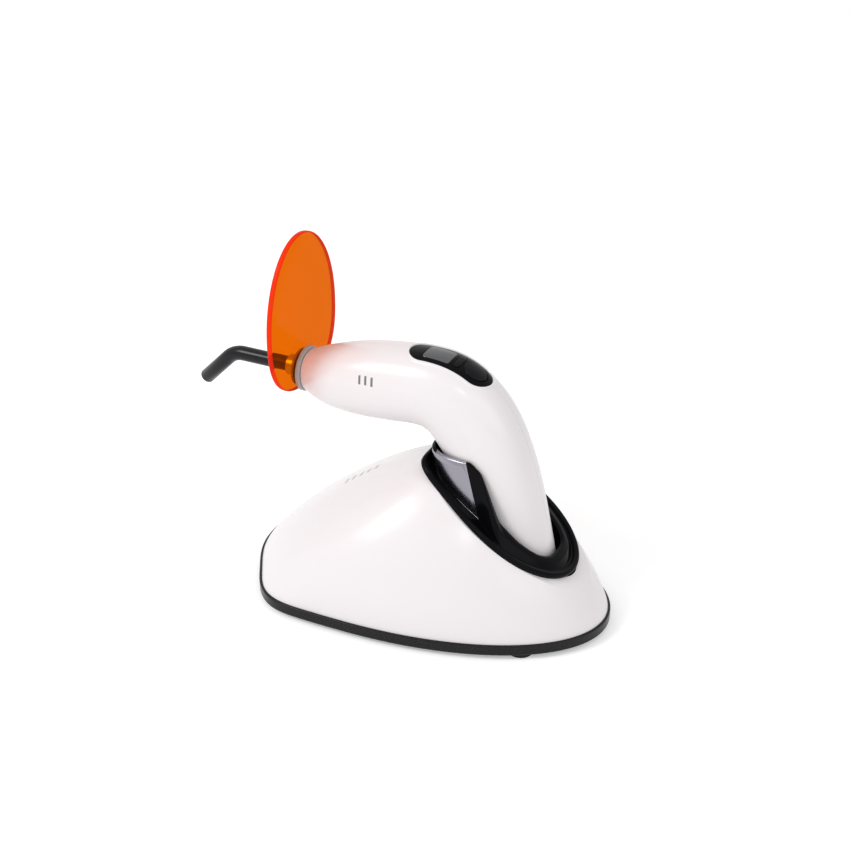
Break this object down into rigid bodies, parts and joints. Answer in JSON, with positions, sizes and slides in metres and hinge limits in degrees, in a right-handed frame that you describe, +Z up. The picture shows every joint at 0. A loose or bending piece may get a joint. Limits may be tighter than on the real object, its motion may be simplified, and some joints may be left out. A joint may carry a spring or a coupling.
{
  "type": "dental curing light",
  "caption": "Cordless curing light whose bent handpiece rests in a domed charging base, with a curved light guide and a tinted egg-shaped shield.",
  "frame": {"origin": "on the table, under the middle of the object's overall length and width", "axes": "+Z up; the light guide points along -X; +Y is the far side, which carries the power inlet"},
  "size_m": [0.2413, 0.1268, 0.1915],
  "materials": {
    "white_shell": "glossy white",
    "black_plate": "satin black",
    "black_shell": "glossy black",
    "foot_rubber": "matte dark grey",
    "screw_steel": "plated",
    "spring_steel": "bright",
    "dark_plastic": "matte black",
    "gold_contact": "plated, bright",
    "circuit_board": "green lacquer",
    "sleeve_metal": "turned, bright",
    "emitter_ceramic": "matte ceramic",
    "clear_lens": "clear",
    "sink_aluminium": "machined",
    "display_grey": "matte grey",
    "display_clear": "glossy dark tint",
    "panel_black": "glossy black",
    "button_black": "satin black",
    "cell_wrap": "blue sleeve",
    "guide_glass": "polished, nearly black",
    "seal_rubber": "matte black",
    "shield_orange": "clear orange tint",
    "ring_rubber": "satin grey"
  },
  "bodies": {
    "base": {"base_shell": "white_shell", "base_plate": "black_plate", "rubber_feet": "foot_rubber", "base_screws": "screw_steel", "cradle": "black_shell", "contact_block": "dark_plastic", "charge_board": "circuit_board", "board_components": "dark_plastic", "power_inlet": "dark_plastic"},
    "pin_left": {"charging_pin_left": "gold_contact", "pin_spring_left": "spring_steel"},
    "pin_right": {"charging_pin_right": "gold_contact", "pin_spring_right": "spring_steel"},
    "handpiece": {"left_housing": "white_shell", "right_housing": "white_shell", "housing_screws": "screw_steel", "guide_socket": "sleeve_metal", "led_module": "emitter_ceramic", "led_lens": "clear_lens", "heat_sink": "sink_aluminium", "main_board": "circuit_board", "display_module": "display_grey", "display_window": "display_clear", "control_panel": "panel_black", "button_switches": "dark_plastic", "buzzer": "dark_plastic", "power_cell": "cell_wrap", "cell_contacts": "spring_steel", "end_cap": "white_shell", "charging_pads": "gold_contact"},
    "power_button": {"power_button": "button_black"},
    "mode_button": {"mode_button": "button_black"},
    "guide_clip": {"guide_clip": "spring_steel"},
    "light_guide": {"light_guide": "guide_glass", "guide_ferrule": "sleeve_metal", "seal_ring": "seal_rubber"},
    "shield": {"light_shield": "shield_orange", "shield_ring": "ring_rubber"}
  },
  "joints": [
    {"name": "handpiece_lift", "type": "slide", "parent": "base", "child": "handpiece", "axis": [-0.2588, 0, 0.9659], "range_m": [0, 0.09]},
    {"name": "pin_left_press", "type": "slide", "parent": "base", "child": "pin_left", "axis": [-0.2588, 0, 0.9659], "range_m": [-0.001, 0], "stiffness_N_per_m": 300},
    {"name": "pin_right_press", "type": "slide", "parent": "base", "child": "pin_right", "axis": [-0.2588, 0, 0.9659], "range_m": [-0.001, 0], "stiffness_N_per_m": 300},
    {"name": "power_press", "type": "slide", "parent": "handpiece", "child": "power_button", "axis": [-0.1495, 0, -0.9888], "range_m": [0, 0.0006], "stiffness_N_per_m": 600},
    {"name": "mode_press", "type": "slide", "parent": "handpiece", "child": "mode_button", "axis": [-0.1495, 0, -0.9888], "range_m": [0, 0.0006], "stiffness_N_per_m": 600},
    {"name": "guide_turn", "type": "hinge", "parent": "handpiece", "child": "guide_clip", "pos_m": [-0.0403, 0, 0.1158], "axis": [-1, 0, 0], "continuous": true},
    {"name": "guide_pull", "type": "slide", "parent": "guide_clip", "child": "light_guide", "axis": [-1, 0, 0], "range_m": [0, 0.025]},
    {"name": "shield_turn", "type": "hinge", "parent": "light_guide", "child": "shield", "pos_m": [-0.0553, 0, 0.1158], "axis": [-1, 0, 0], "continuous": true}
  ]
}
